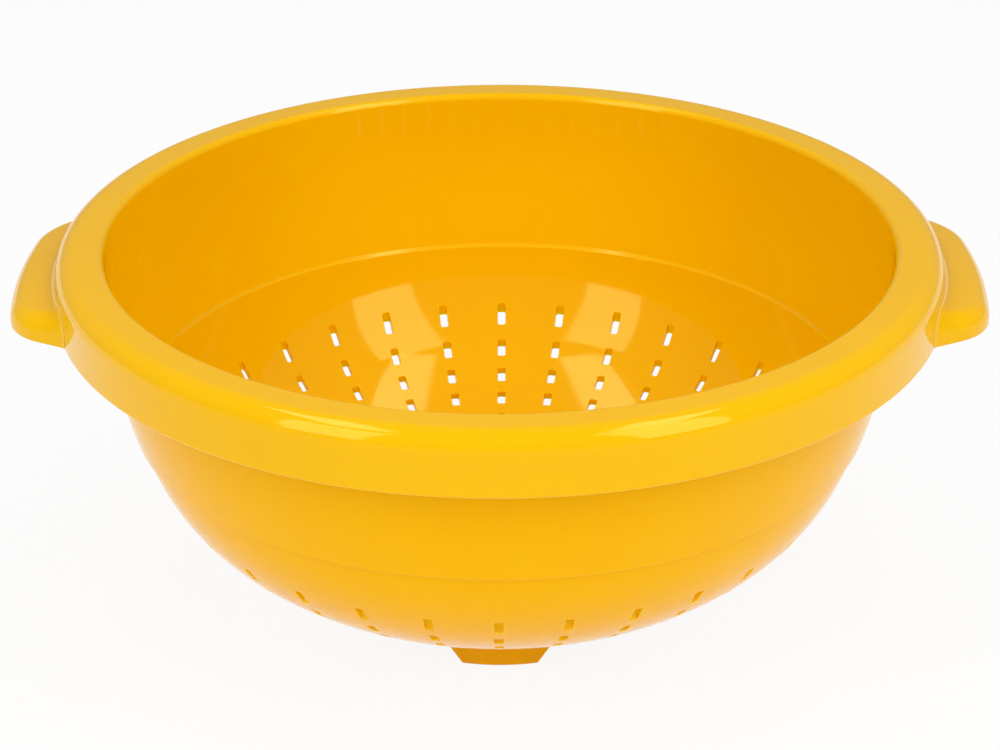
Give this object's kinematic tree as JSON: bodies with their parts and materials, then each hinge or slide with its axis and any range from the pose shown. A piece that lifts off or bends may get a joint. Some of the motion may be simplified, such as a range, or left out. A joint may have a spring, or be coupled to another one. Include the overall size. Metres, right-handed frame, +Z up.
{
  "type": "colander",
  "caption": "Round plastic colander with a flanged rim, a hollow ear handle at each side, an unbroken upper wall above a slotted bowl, and feet below.",
  "frame": {"origin": "centre of the plane that the feet stand on, on the bowl's axis", "axes": "+Z up along the bowl's axis out of its mouth, X from the left handle to the right one, -Y towards the pictured side"},
  "size_m": [0.3072, 0.2796, 0.1284],
  "materials": {
    "yellow_plastic": "glossy injection-moulded polypropylene"
  },
  "bodies": {
    "root": {"rim_flange": "yellow_plastic", "rim_skirt": "yellow_plastic", "upper_wall": "yellow_plastic", "strainer_shoulder": "yellow_plastic", "strainer_side": "yellow_plastic", "strainer_floor": "yellow_plastic", "right_handle": "yellow_plastic", "left_handle": "yellow_plastic", "front_foot": "yellow_plastic", "right_foot": "yellow_plastic", "back_foot": "yellow_plastic", "left_foot": "yellow_plastic"}
  },
  "joints": []
}
